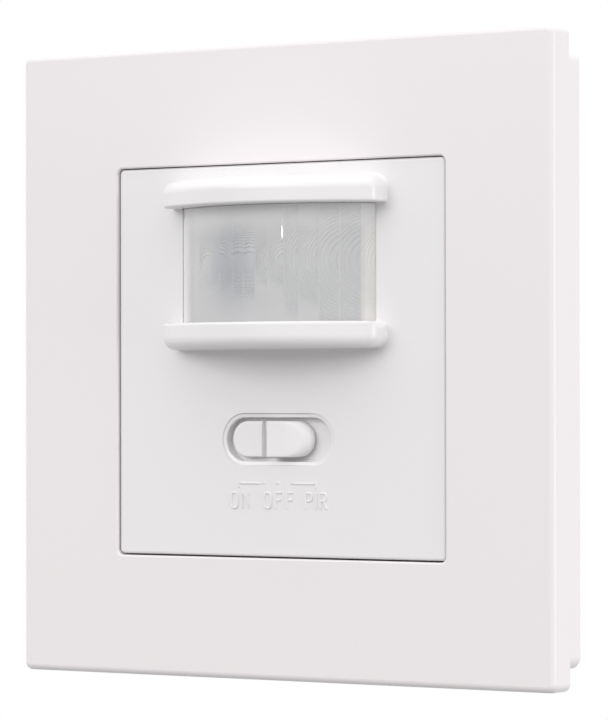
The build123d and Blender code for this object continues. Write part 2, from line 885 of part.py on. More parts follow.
def indicator_led():
    """Domed indicator with its rim and two leads."""
    base = sensor_board_depth
    led = post(indicator_radius, base, base + indicator_height - indicator_radius,
               indicator_offset, lens_rise)
    dome = Sphere(indicator_radius)
    top = base + indicator_height - indicator_radius
    led += Pos(indicator_offset, -top, lens_rise) * dome
    led += post(indicator_rim_radius, base, base + indicator_rim_height, indicator_offset,
                lens_rise)
    places = pair_of_leads((indicator_offset, lens_rise), two_lead_spacing)
    for lead in leads_down(places, sensor_board_back, base):
        led += lead
    return led


def light_sensor():
    """Light cell: a round wafer with grooved tracks and two leads."""
    base = sensor_board_depth
    front = base + light_cell_height
    cell = post(light_cell_radius, base, front, -indicator_offset, lens_rise)
    pitch = 2 * light_cell_radius / (light_cell_track_count + 1)
    for z in row(light_cell_track_count, pitch):
        cell -= block(2 * light_cell_radius - 2 * light_cell_track_width, light_cell_track_width,
                      front - light_cell_track_depth, front + overrun, -indicator_offset,
                      lens_rise + z)
    places = pair_of_leads((-indicator_offset, lens_rise), two_lead_spacing)
    for lead in leads_down(places, sensor_board_back, base):
        cell += lead
    return cell


def control_chip():
    """Control chip with its gull wing pins drawn as straight steps."""
    base = sensor_board_depth
    body = block(chip_length, chip_width, base + chip_standoff,
                 base + chip_standoff + chip_height, z=-chip_drop)
    reach = chip_width / 2 + chip_pin_reach / 2
    for x in row(chip_side_pin_count, chip_pin_pitch):
        for side in (-1, 1):
            foot = block(chip_pin_width, chip_pin_reach, base, base + chip_pin_thickness,
                         x, side * reach - chip_drop)
            riser = block(chip_pin_width, chip_pin_thickness, base, base + chip_height / 2,
                          x, side * (chip_width + chip_pin_thickness) / 2 - chip_drop)
            body += foot + riser
    return body


def trimmer_base(side):
    """Square foot of a trimmer, with a well and a pivot hole for its rotor."""
    x = side * trimmer_offset
    base = sensor_board_depth
    front = base + trimmer_height
    foot = soft_block(trimmer_size, trimmer_size, base, front, trimmer_corner_radius,
                      x, -trimmer_drop)
    foot -= post(rotor_radius + rotor_side_play, front - trimmer_well_depth, front + overrun,
                 x, -trimmer_drop)
    pivot_end = front - trimmer_well_depth - rotor_pivot_depth
    foot -= post(rotor_pivot_radius + rotor_pivot_play, pivot_end, front, x, -trimmer_drop)
    return foot


def trimmer_rotor(side):
    """Rotor of a trimmer: a disc with a driver slot on a short pivot."""
    x = side * trimmer_offset
    seat = sensor_board_depth + trimmer_height - trimmer_well_depth + rotor_end_play
    top = seat + rotor_height
    rotor = post(rotor_radius, seat, top, x, -trimmer_drop)
    rotor += post(rotor_pivot_radius, seat - rotor_pivot_depth, seat, x, -trimmer_drop)
    rotor -= soft_block(rotor_slot_width, rotor_slot_length, top - rotor_slot_depth,
                        top + overrun, rotor_slot_corner_radius, x, -trimmer_drop)
    return rotor


def header_plug():
    """Pins on the power board that reach into the socket."""
    length = header_count * header_pitch
    plug = block(length, header_width, power_board_front, power_board_front + header_base_height,
                 z=-header_drop)
    reach = sensor_board_back - socket_height + socket_entry
    for x, z in header_places():
        plug += block(header_pin_size, header_pin_size, power_board_front, reach, x, z)
    return plug


def header_socket():
    """Socket on the back of the sensor board, with a hole for each pin."""
    length = header_count * header_pitch
    end = sensor_board_back - socket_height
    socket = block(length, header_width, end, sensor_board_back, z=-header_drop)
    size = header_pin_size + 2 * header_hole_play
    for x, z in header_places():
        socket -= block(size, size, end - overrun, end + socket_entry + overrun, x, z)
    return socket


def boxed_part(plan_shares, height_share, place_shares, radius):
    """A part with a plain moulded case that stands on the power board."""
    top = power_board_front + height_share * board_room
    case = soft_block(*on_board(plan_shares), power_board_front, top, radius,
                      *on_board(place_shares))
    return chamfer(edges_at(case, top), radius / 2)


def relay():
    """Relay case, sealed."""
    return boxed_part(relay_plan_shares, relay_height_share, relay_place_shares,
                      relay_edge_radius)


def film_capacitor():
    """Film capacitor with its two leads."""
    case = boxed_part(film_cap_plan_shares, film_cap_height_share, film_cap_place_shares,
                      film_cap_edge_radius)
    for lead in leads_down(film_cap_leads(), power_board_back, power_board_front):
        case += lead
    return case


def bulk_capacitor():
    """Round capacitor: a can rolled in near its foot, turned from its own profile."""
    height = bulk_cap_height_share * board_room
    radius = bulk_cap_radius_share * board_width
    inner = radius - bulk_cap_groove_depth
    low = bulk_cap_groove_rise - bulk_cap_groove_length / 2
    high = bulk_cap_groove_rise + bulk_cap_groove_length / 2
    side = Polyline((0, 0), (radius, 0), (radius, low))
    waist = ThreePointArc((radius, low), (inner, bulk_cap_groove_rise), (radius, high))
    rest = Polyline((radius, high), (radius, height), (0, height), (0, 0))
    x, z = on_board(bulk_cap_place_shares)
    profile = Plane(origin=(x, -power_board_front, z), x_dir=(1, 0, 0), z_dir=(0, 0, 1))
    turned = revolve(mirror(profile * make_face(side + waist + rest), about=Plane.XZ.offset(
        power_board_front)), axis=Axis((x, 0, z), (0, 1, 0)))
    for lead in leads_down(bulk_cap_leads(), power_board_back, power_board_front):
        turned += lead
    return turned


def surge_disc():
    """Surge absorber: a coated disc standing on edge, on two leads."""
    x, z = on_board(surge_disc_place_shares)
    radius = surge_disc_radius_share * board_width
    middle = power_board_front + radius
    disc = Cylinder(radius, surge_disc_thickness)
    disc = chamfer(disc.edges().filter_by(GeomType.CIRCLE), surge_disc_edge_bevel)
    disc = Pos(x, -middle, z) * disc
    for lead in leads_down(surge_disc_leads(), power_board_back, middle):
        disc += lead
    return disc


def bridge_rectifier():
    """Rectifier in a low case."""
    return boxed_part(bridge_plan_shares, bridge_height_share, bridge_place_shares,
                      bridge_edge_radius)


def fuse_resistor():
    """Fusible resistor lying on the board: a body with two end caps and bent leads."""
    x, z = on_board(fuse_place_shares)
    length = fuse_length_share * board_width
    radius = fuse_radius_share * board_width
    cap_radius = radius + fuse_cap_step
    middle = power_board_front + fuse_standoff + cap_radius
    turn = Pos(x, -middle, z) * Rot(0, 90, 0)
    body = turn * Cylinder(radius, length)
    for side in (-1, 1):
        cap_place = side * (length - fuse_cap_length) / 2
        body += turn * Pos(0, 0, cap_place) * Cylinder(cap_radius, fuse_cap_length)
    reach = length + 2 * (fuse_standoff + lead_size)
    body += block(reach, lead_size, middle - lead_size / 2, middle + lead_size / 2, x, z)
    for lead in leads_down(fuse_leads(), power_board_back, middle):
        body += lead
    return body


def terminal_block():
    """Terminal block: wire holes from below, cage pockets, and screws from behind."""
    shell = block(terminal_length, terminal_height, terminal_back, -housing_reach,
                  z=terminal_rise)
    rear = edges_at(shell, terminal_back)
    shell = fillet(rear, terminal_edge_radius)
    pocket = cage_size + 2 * cage_play
    for x in row(terminal_count, terminal_pitch):
        shell -= block(pocket, pocket, terminal_middle - pocket / 2,
                       -housing_reach + overrun, x, cage_rise)
        hole = Pos(x, -terminal_middle, terminal_foot + terminal_entry_length / 2)
        shell -= hole * Cylinder(wire_hole_radius, terminal_entry_length + overrun)
        shell -= post(clamp_head_radius + clamp_head_play, terminal_back - overrun,
                      terminal_middle - pocket / 2 + overrun, x, cage_rise)
    return shell


def terminal_cages():
    """Three brass cages, open below for the wire, each with a tab to the power board."""
    cages = []
    back = terminal_middle - cage_size / 2
    front = terminal_middle + cage_size / 2
    for x in row(terminal_count, terminal_pitch):
        cage = block(cage_size, cage_size, back, front, x, cage_rise)
        cage -= block(cage_size - 2 * cage_wall, cage_size + overrun, back + cage_wall,
                      front - cage_wall, x, cage_rise)
        cage -= post(clamp_screw_radius + clamp_thread_play, back - overrun,
                     back + cage_wall + overrun, x, cage_rise)
        cage += block(tab_width, tab_thickness, front, power_board_front + tab_thickness, x,
                      cage_rise)
        cages.append(cage)
    return joined(cages)


def terminal_screws():
    """Three slotted clamp screws, reached from behind."""
    screws = []
    seat = terminal_middle - cage_size / 2
    for x in row(terminal_count, terminal_pitch):
        head_back = seat - clamp_head_height
        screw = post(clamp_head_radius, head_back, seat, x, cage_rise)
        screw += post(clamp_screw_radius, seat, terminal_middle, x, cage_rise)
        screw -= block(2 * clamp_head_radius + overrun, clamp_slot_width, head_back - overrun,
                       head_back + clamp_slot_depth, x, cage_rise)
        screws.append(screw)
    return joined(screws)


pieces = {
    "outer_frame": outer_frame(),
    "wall_surround": wall_surround(),
    "centre_cover": centre_cover(),
    "fresnel_lens": fresnel_lens(),
    "lens_retainer": lens_retainer(),
    "slide_knob": slide_knob(),
    "slider_plate": slider_plate(),
    "front_chassis": front_chassis(),
    "chassis_screws": chassis_screws(),
    "support_plate": support_plate(),
    "rear_housing": rear_housing(),
    "sensor_board": sensor_board(),
    "pir_sensor": pir_sensor(),
    "pir_window": pir_window(),
    "light_sensor": light_sensor(),
    "indicator_led": indicator_led(),
    "control_chip": control_chip(),
    "switch_shell": switch_shell(),
    "switch_base": switch_base(),
    "switch_lever": switch_lever(),
    "time_trimmer_base": trimmer_base(-1),
    "time_trimmer_rotor": trimmer_rotor(-1),
    "light_trimmer_base": trimmer_base(1),
    "light_trimmer_rotor": trimmer_rotor(1),
    "header_socket": header_socket(),
    "header_plug": header_plug(),
    "power_board": power_board(),
    "relay": relay(),
    "film_capacitor": film_capacitor(),
    "bulk_capacitor": bulk_capacitor(),
    "surge_disc": surge_disc(),
    "bridge_rectifier": bridge_rectifier(),
    "fuse_resistor": fuse_resistor(),
    "terminal_block": terminal_block(),
    "terminal_cages": terminal_cages(),
    "terminal_screws": terminal_screws(),
}

for name, solid in pieces.items():
    save(solid, name)
    print(name, len(solid.solids()), round(solid.volume, 2))
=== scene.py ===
# %% [markdown]
# A motion sensor light switch, dressed.
# The solid pieces come in packed, already at their real size and place, in metres.
# +Z is up, +X is to the right as seen from the room, and the wall's surface is the plane y = 0.
# This lesson gives each piece its finish, makes the ringed lens and the raised words, and lights
# the whole for a camera that stands where the photographer's did.

# %% Load the solid pieces
import json
import math

import bmesh
import bpy
from mathutils import Matrix, Vector


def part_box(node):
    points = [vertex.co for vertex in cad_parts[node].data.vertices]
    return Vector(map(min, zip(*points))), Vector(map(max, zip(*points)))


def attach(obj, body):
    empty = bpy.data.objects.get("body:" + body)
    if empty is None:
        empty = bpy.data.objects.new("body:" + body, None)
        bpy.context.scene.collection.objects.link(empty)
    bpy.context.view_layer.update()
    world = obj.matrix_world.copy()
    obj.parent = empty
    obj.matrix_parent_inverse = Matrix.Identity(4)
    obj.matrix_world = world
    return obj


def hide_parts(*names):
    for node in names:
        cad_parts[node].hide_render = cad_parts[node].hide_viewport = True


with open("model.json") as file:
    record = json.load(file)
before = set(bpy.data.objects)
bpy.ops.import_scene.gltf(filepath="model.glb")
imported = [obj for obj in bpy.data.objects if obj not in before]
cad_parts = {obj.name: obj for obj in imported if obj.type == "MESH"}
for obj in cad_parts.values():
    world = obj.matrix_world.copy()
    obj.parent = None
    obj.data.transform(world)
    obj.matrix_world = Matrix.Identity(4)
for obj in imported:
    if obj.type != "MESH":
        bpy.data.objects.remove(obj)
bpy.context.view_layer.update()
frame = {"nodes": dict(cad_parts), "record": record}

nodes = frame["nodes"]
print("solid pieces:", len(nodes))

# %% [markdown]
# The camera. A long lens from half a metre away flattens the switch only a little: its right side
# still shows, because the camera stands 34 degrees to the right of the middle. The place is kept
# as a distance and two angles about a target on the front face, which is how a photographer
# would set it up, and the small roll turns the picture by less than a tenth of a degree.

# %% Camera
face_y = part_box("outer_frame")[0].y
camera_target = Vector((0.00411, face_y, 0.00002))
camera_distance = 0.48345
camera_turn = math.radians(33.883)
camera_rise = math.radians(-0.613)
camera_roll = math.radians(-0.083)
sensor_length = 36.0
lens_length = 194.6

towards_camera = Vector((math.sin(camera_turn) * math.cos(camera_rise),
                         -math.cos(camera_turn) * math.cos(camera_rise),
                         math.sin(camera_rise)))
camera_data = bpy.data.cameras.new("camera")
camera_data.sensor_width = sensor_length
camera_data.lens = lens_length
camera_data.clip_start = 0.05
camera = bpy.data.objects.new("camera", camera_data)
camera.location = camera_target + camera_distance * towards_camera
look = towards_camera.to_track_quat("Z", "Y").to_matrix().to_4x4()
camera.rotation_euler = (look @ Matrix.Rotation(camera_roll, 4, "Z")).to_euler()
bpy.context.scene.collection.objects.link(camera)
bpy.context.scene.camera = camera
bpy.context.scene.view_settings.view_transform = "Standard"
print("camera at", [round(c, 4) for c in camera.location])

# %% [markdown]
# Light. The world is a soft tent whose strength depends on the direction: little from below and
# more from above, from both sides and from behind, so that gaps and undersides darken softly.
# Rays straight from the camera, off gloss and through clear parts see the world pure white, which
# makes the plain background without putting more light on the object.

# %% Light tent
tent_base = 0.25
tent_from_above = 1.4
tent_from_sides = 0.5
tent_from_behind = 0.2


def math_step(tree, operation, *sources):
    """One arithmetic node whose inputs are sockets or numbers; gives its output socket."""
    step = tree.nodes.new("ShaderNodeMath")
    step.operation = operation
    for slot, source in zip(step.inputs, sources):
        if isinstance(source, (int, float)):
            slot.default_value = source
        else:
            tree.links.new(source, slot)
    return step.outputs[0]


world = bpy.data.worlds.new("tent")
bpy.context.scene.world = world
world.use_nodes = True
tree = world.node_tree
tree.nodes.clear()
world_out = tree.nodes.new("ShaderNodeOutputWorld")
direction = tree.nodes.new("ShaderNodeTexCoord")
split = tree.nodes.new("ShaderNodeSeparateXYZ")
tree.links.new(direction.outputs["Generated"], split.inputs[0])
above = math_step(tree, "MAXIMUM", split.outputs["Z"], 0.0)
behind = math_step(tree, "MAXIMUM", split.outputs["Y"], 0.0)
sides = math_step(tree, "MULTIPLY", split.outputs["X"], split.outputs["X"])
strength = math_step(tree, "MULTIPLY_ADD", above, tent_from_above, tent_base)
strength = math_step(tree, "MULTIPLY_ADD", behind, tent_from_behind, strength)
strength = math_step(tree, "MULTIPLY_ADD", sides, tent_from_sides, strength)
tent = tree.nodes.new("ShaderNodeBackground")
tent.inputs["Color"].default_value = (1.0, 1.0, 1.0, 1.0)
tree.links.new(strength, tent.inputs["Strength"])
backdrop = tree.nodes.new("ShaderNodeBackground")
backdrop.inputs["Strength"].default_value = 1.0
backdrop.inputs["Color"].default_value = (1.0, 1.0, 1.0, 1.0)
path = tree.nodes.new("ShaderNodeLightPath")
plain = math_step(tree, "MAXIMUM", path.outputs["Is Camera Ray"], path.outputs["Is Glossy Ray"])
plain = math_step(tree, "MAXIMUM", plain, path.outputs["Is Transmission Ray"])
mix = tree.nodes.new("ShaderNodeMixShader")
tree.links.new(plain, mix.inputs["Fac"])
tree.links.new(tent.outputs[0], mix.inputs[1])
tree.links.new(backdrop.outputs[0], mix.inputs[2])
tree.links.new(mix.outputs[0], world_out.inputs["Surface"])
print("tent: below", tent_base, "above", tent_base + tent_from_above)

# %% [markdown]
# Three lamps. One wide softbox hangs in front, above the camera and left of the middle: it gives
# the front its tone, and its low edge throws the short shadow under the lower hood. A narrow one,
# nearly in the wall's plane on the right, brightens the right side and the hoods' ends. A very
# small weak one stands where its mirror image falls on the lens, and is there only for the glint.

# %% Softboxes and glint
def softbox(name, distance, turn, rise, size, power):
    """A lamp that looks at the middle of the switch; its angles count from the wall's normal."""
    turn = math.radians(turn)
    rise = math.radians(rise)
    data = bpy.data.lights.new(name, "AREA")
    data.shape = "RECTANGLE"
    data.size, data.size_y = size
    data.energy = power
    lamp = bpy.data.objects.new(name, data)
    lamp.location = distance * Vector((math.sin(turn) * math.cos(rise),
                                       -math.cos(turn) * math.cos(rise), math.sin(rise)))
    lamp.rotation_euler = lamp.location.to_track_quat("Z", "Y").to_euler()
    lamp.visible_camera = False
    bpy.context.scene.collection.objects.link(lamp)
    print(name, power, "W from", distance, "m")


softbox("key", distance=2.0, turn=-17.0, rise=22.0, size=(1.7, 0.92), power=15.0)
softbox("fill", distance=1.0, turn=84.0, rise=0.0, size=(0.22, 0.5), power=2.4)
softbox("glint", distance=1.0142, turn=-13.33, rise=3.36, size=(0.016, 0.0036), power=0.005)

# %% [markdown]
# Plastic. A moulded face is never quite even: the tool's surface leaves a very fine grain, the
# melt leaves small changes of gloss, and the colour varies by half a percent or so. Noise in three
# sizes, read from the object's own coordinates, gives all of that at real scale.

# %% Node helpers and moulded plastic
tint_noise = 1900.0
tint_change = 0.006
gloss_noise = 1500.0


def shader_material(name):
    """A new material with one main shader, its tree and that shader."""
    material = bpy.data.materials.new(name)
    material.use_nodes = True
    material.node_tree.nodes.clear()
    out = material.node_tree.nodes.new("ShaderNodeOutputMaterial")
    shader = material.node_tree.nodes.new("ShaderNodeBsdfPrincipled")
    material.node_tree.links.new(shader.outputs[0], out.inputs["Surface"])
    return material, material.node_tree, shader


def value_noise(tree, scale, detail=2.0):
    """Noise read from object coordinates; scale is in waves per metre."""
    place = tree.nodes.new("ShaderNodeTexCoord")
    noise = tree.nodes.new("ShaderNodeTexNoise")
    noise.inputs["Scale"].default_value = scale
    noise.inputs["Detail"].default_value = detail
    tree.links.new(place.outputs["Object"], noise.inputs["Vector"])
    return noise.outputs["Fac"]


def spread(tree, source, low, high, start=0.2, end=0.8, soft=False):
    """A value spread between two others, with soft ends where a shape fades out."""
    span = tree.nodes.new("ShaderNodeMapRange")
    span.interpolation_type = "SMOOTHSTEP" if soft else "LINEAR"
    span.inputs["From Min"].default_value = start
    span.inputs["From Max"].default_value = end
    span.inputs["To Min"].default_value = low
    span.inputs["To Max"].default_value = high
    tree.links.new(source, span.inputs["Value"])
    return span.outputs["Result"]


def tint(tree, source, colour, change):
    """A colour that noise makes a little lighter or darker."""
    blend = tree.nodes.new("ShaderNodeMix")
    blend.data_type = "RGBA"
    blend.inputs["A"].default_value = [c * (1.0 - change) for c in colour] + [1.0]
    blend.inputs["B"].default_value = [min(1.0, c * (1.0 + change)) for c in colour] + [1.0]
    tree.links.new(source, blend.inputs["Factor"])
    return blend.outputs["Result"]


def bump(tree, shader, height, depth, before=None):
    """Surface relief of that depth in metres."""
    relief = tree.nodes.new("ShaderNodeBump")
    relief.inputs["Strength"].default_value = 1.0
    relief.inputs["Distance"].default_value = depth
    tree.links.new(height, relief.inputs["Height"])
    if before is not None:
        tree.links.new(before, relief.inputs["Normal"])
    tree.links.new(relief.outputs["Normal"], shader.inputs["Normal"])


def plastic(name, colour, gloss, grain=2600.0, grain_depth=0.000003):
    """Moulded plastic: fine grain and small changes of gloss and colour."""
    material, tree, shader = shader_material(name)
    shader.inputs["IOR"].default_value = 1.5
    tone = tint(tree, value_noise(tree, tint_noise), colour, tint_change)
    tree.links.new(tone, shader.inputs["Base Color"])
    rough = spread(tree, value_noise(tree, gloss_noise), *gloss)
    tree.links.new(rough, shader.inputs["Roughness"])
    bump(tree, shader, value_noise(tree, grain), grain_depth)
    return material


# %% [markdown]
# Metal. Galvanised sheet is a patchwork of crystals, each with its own gloss, so a Voronoi
# pattern sets tone and roughness cell by cell. Turned and drawn parts take both from a fine grain.

# %% Metals
metal_grain = 1500.0
metal_grain_depth = 0.000003
metal_change = 0.08


def metal(name, colour, gloss, crystals=0.0):
    """Metal with a fine grain, and with the crystals of a galvanised face where asked."""
    material, tree, shader = shader_material(name)
    shader.inputs["Metallic"].default_value = 1.0
    fine = value_noise(tree, metal_grain, detail=3.0)
    tone = fine
    if crystals:
        place = tree.nodes.new("ShaderNodeTexCoord")
        cells = tree.nodes.new("ShaderNodeTexVoronoi")
        cells.inputs["Scale"].default_value = crystals
        tree.links.new(place.outputs["Object"], cells.inputs["Vector"])
        grey = tree.nodes.new("ShaderNodeRGBToBW")
        tree.links.new(cells.outputs["Color"], grey.inputs["Color"])
        tone = grey.outputs["Val"]
    tree.links.new(tint(tree, spread(tree, tone, 0.0, 1.0), colour, metal_change),
                   shader.inputs["Base Color"])
    tree.links.new(spread(tree, tone, *gloss), shader.inputs["Roughness"])
    bump(tree, shader, fine, metal_grain_depth)
    return material


# %% [markdown]
# The lens. A real one is a thin sheet of milky plastic, bent to an arc, with a row of upright
# fields, and each field is a stepped lens: rings about its middle whose areas are all alike, so
# they crowd together outwards. That is a rule, so Geometry Nodes make it. One tree makes one
# field from two angles on the arc, and a loop runs it for every field of the row.

# %% Lens field tree
def lens_field_tree():
    """A field of the lens, bent to the arc, with rings of equal area and a line at each edge."""
    group = bpy.data.node_groups.new("lens_field", "GeometryNodeTree")
    wanted = {
        "Geometry": ("Geometry",),
        "Float": ("Arc radius", "Left angle", "Right angle", "Foot", "Height", "Axis depth",
                  "Ring middle", "Ring area", "Ring depth", "Finest ring", "Edge depth",
                  "Edge width"),
        "Int": ("Columns", "Rows"),
        "Material": ("Finish",),
    }
    for kind, titles in wanted.items():
        for title in titles:
            group.interface.new_socket(title, in_out="INPUT", socket_type="NodeSocket" + kind)
    group.interface.new_socket("Geometry", in_out="OUTPUT", socket_type="NodeSocketGeometry")
    new = group.nodes.new
    link = group.links.new
    given = new("NodeGroupInput")
    result = new("NodeGroupOutput")

    def calc(operation, *sources):
        """One step of arithmetic in this tree."""
        return math_step(group, operation, *sources)

    grid = new("GeometryNodeMeshGrid")
    grid.inputs["Size X"].default_value = 1.0
    grid.inputs["Size Y"].default_value = 1.0
    link(given.outputs["Columns"], grid.inputs["Vertices X"])
    link(given.outputs["Rows"], grid.inputs["Vertices Y"])
    place = new("GeometryNodeInputPosition")
    parts = new("ShaderNodeSeparateXYZ")
    link(place.outputs[0], parts.inputs[0])
    across = calc("ADD", parts.outputs["X"], 0.5)
    upward = calc("ADD", parts.outputs["Y"], 0.5)
    radius = given.outputs["Arc radius"]
    opening = calc("SUBTRACT", given.outputs["Right angle"], given.outputs["Left angle"])
    angle = calc("MULTIPLY_ADD", across, opening, given.outputs["Left angle"])
    rise = calc("MULTIPLY", upward, given.outputs["Height"])
    half_width = calc("MULTIPLY", calc("MULTIPLY", opening, radius), 0.5)
    sideways = calc("MULTIPLY", calc("SUBTRACT", angle, given.outputs["Ring middle"]), radius)
    climb = calc("MULTIPLY", parts.outputs["Y"], given.outputs["Height"])
    square = calc("ADD", calc("MULTIPLY", sideways, sideways), calc("MULTIPLY", climb, climb))
    turns = calc("FRACT", calc("DIVIDE", square, given.outputs["Ring area"]))
    reach = calc("DIVIDE", given.outputs["Ring area"],
                 calc("MULTIPLY", given.outputs["Finest ring"], 2.0))
    fade = calc("MULTIPLY_ADD", calc("DIVIDE", square, calc("MULTIPLY", reach, reach)), -2.0, 2.0)
    fade = calc("MINIMUM", calc("MAXIMUM", fade, 0.0), 1.0)
    from_middle = calc("MULTIPLY", calc("MULTIPLY", parts.outputs["X"], opening), radius)
    to_edge = calc("SUBTRACT", half_width, calc("ABSOLUTE", from_middle))
    inward = calc("MINIMUM", calc("DIVIDE", to_edge, given.outputs["Edge width"]), 1.0)
    edge = calc("MULTIPLY", calc("SUBTRACT", 1.0, inward), given.outputs["Edge depth"])
    fade = calc("MULTIPLY", fade, calc("MAXIMUM", inward, 0.0))
    rings = calc("MULTIPLY", calc("MULTIPLY", turns, fade), given.outputs["Ring depth"])
    skin = calc("SUBTRACT", calc("SUBTRACT", radius, rings), edge)
    depth = calc("ADD", given.outputs["Axis depth"], calc("MULTIPLY", skin, calc("COSINE", angle)))
    bent = new("ShaderNodeCombineXYZ")
    link(calc("MULTIPLY", skin, calc("SINE", angle)), bent.inputs["X"])
    link(calc("MULTIPLY", depth, -1.0), bent.inputs["Y"])
    link(calc("ADD", rise, given.outputs["Foot"]), bent.inputs["Z"])
    move = new("GeometryNodeSetPosition")
    link(grid.outputs["Mesh"], move.inputs["Geometry"])
    link(bent.outputs[0], move.inputs["Position"])
    real = new("GeometryNodeRealizeInstances")
    link(move.outputs["Geometry"], real.inputs["Geometry"])
    finish = new("GeometryNodeSetMaterial")
    link(real.outputs["Geometry"], finish.inputs["Geometry"])
    link(given.outputs["Finish"], finish.inputs["Material"])
    link(finish.outputs["Geometry"], result.inputs["Geometry"])
    return group


field_tree = lens_field_tree()
print("lens field tree:", len(field_tree.nodes), "nodes")


def run_tree(tree, values):
    """Runs a Geometry Nodes tree once with these named inputs and returns a plain mesh."""
    carrier = bpy.data.objects.new("carrier", bpy.data.meshes.new("carrier"))
    bpy.context.scene.collection.objects.link(carrier)
    modifier = carrier.modifiers.new("tree", "NODES")
    modifier.node_group = tree
    for item in tree.interface.items_tree:
        if item.in_out == "INPUT" and item.name in values:
            modifier[item.identifier] = values[item.name]
    bpy.context.view_layer.update()
    graph = bpy.context.evaluated_depsgraph_get()
    made = bpy.data.meshes.new_from_object(carrier.evaluated_get(graph))
    bpy.data.objects.remove(carrier)
    return made


# %% [markdown]
# The lens's finish. Its outside is smooth, so the clear coat takes the plain arc as its normal
# and keeps its glint whole over the rings. Under it the film is milky and light wanders in it.
# Its colour holds painted light and shade: a painted grey patch for the shade of the sensor's dark
# space behind it, painted shade towards the bottom left, painted light at both rims, where the
# legs and lip behind it catch light, with a painted highlight on the right one, and painted light
# towards the top, which lightens the hood's shadow there. The field edges are angles on the arc,
# and so are the rings' middles, which lie ever further outwards in the outer fields.

# %% Lens sizes and finish
lens_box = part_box("fresnel_lens")
lens_middle = (lens_box[0].z + lens_box[1].z) / 2
lens_lip = 0.0012
lens_ease = 0.00006
lens_stand = 0.0053
lens_thickness = 0.0008
lip_thickness = 0.001
cad_half_width = (lens_box[1].x - lens_box[0].x) / 2 - lens_lip
arc_radius = (cad_half_width ** 2 + lens_stand ** 2) / (2 * lens_stand)
axis_y = lens_box[0].y + arc_radius
lens_half_width = cad_half_width + lens_ease
lens_height = lens_box[1].z - lens_box[0].z - 2 * (lens_lip - lens_ease)
lens_foot = lens_middle - lens_height / 2
edge_angle = math.degrees(math.asin(lens_half_width / arc_radius))
field_edges = [-32.6, -26.0, -19.5, -14.5, -8.7, -4.2, 0.4, 4.9, 10.7, 15.7, 22.2, 28.8, 35.8]
ring_middles = [-60.0, -60.0, -21.4, -21.4, -14.2, -6.3, -1.9, 7.8, 11.4, 24.3, 28.5, 33.0, 39.4,
                48.0]
ring_areas = [2.0, 2.0, 1.5, 1.5, 1.7, 2.05, 2.05, 1.6, 1.5, 3.9, 3.1, 4.4, 4.4, 3.4]
square_millimetre = 0.000001
column_step = 0.000075
finest_ring = 0.00019
ring_depth = 0.00008
field_line_depth = -0.000015
field_line_width = 0.00014
weld_distance = 0.000004

film_colour = (0.575, 0.577, 0.585)
film_noise = 500.0
film_change = 0.01
# Painted shade: the grey patch where the sensor's dark space lies behind the film.
sensor_shade_colour = (0.445, 0.455, 0.485)
patch_middle = -9.5
patch_half_width = 11.0
patch_half_height = 0.0065
patch_fade = (0.2, 1.25)
# Painted shade: darker towards the bottom, most on the left.
low_shade_colour = (0.50, 0.50, 0.51)
low_band = (lens_middle - 0.001, lens_middle - 0.0075)
low_fade = (-20.0, 30.0)
low_right_share = 0.3
# Painted light at the left rim, where the legs and lip behind catch light.
left_rim_light_colour = (0.90, 0.885, 0.87)
left_band = (-40.5, -30.5)
# Painted highlight along the right rim.
right_rim_highlight_colour = (0.74, 0.72, 0.705)
right_band = (35.0, 37.5)
# Painted light towards the top, which lightens the hood's shadow on the lens.
top_light_colour = (0.80, 0.80, 0.80)
top_band = (lens_middle + 0.003, lens_middle + 0.0073)


